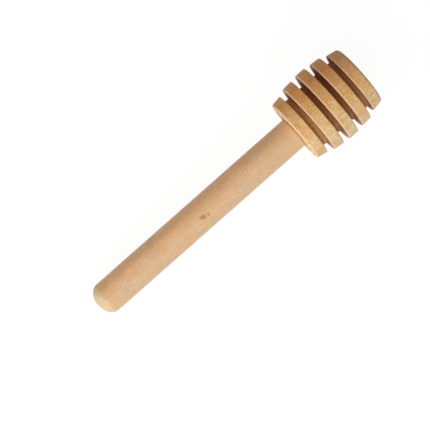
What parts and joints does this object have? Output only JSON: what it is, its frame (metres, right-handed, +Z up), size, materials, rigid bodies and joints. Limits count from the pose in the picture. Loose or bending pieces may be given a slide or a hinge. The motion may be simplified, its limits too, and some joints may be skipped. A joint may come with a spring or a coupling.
{
  "type": "honey dipper",
  "caption": "Small turned wooden honey dipper: a barrel head of grooved discs that picks up and drips honey, glued on a plain round dowel handle with a domed end.",
  "frame": {"origin": "on the table, under the middle of the dipper's length and width, as it lies at rest", "axes": "+X along the dipper towards the head, +Z up; the dipper's own axis rises 4.88 degrees towards the head, because the widest rim and the handle's end both touch the table"},
  "size_m": [0.0804, 0.019, 0.0192],
  "materials": {
    "handle_wood": "pale pinkish fine-grained hardwood dowel, sanded smooth, bare",
    "head_wood": "pale yellowish fine-grained hardwood, turned, lightly sanded, bare",
    "glue": "dried clear-yellow wood glue"
  },
  "bodies": {
    "root": {"handle": "handle_wood", "head": "head_wood", "glue_film": "glue"}
  },
  "joints": []
}
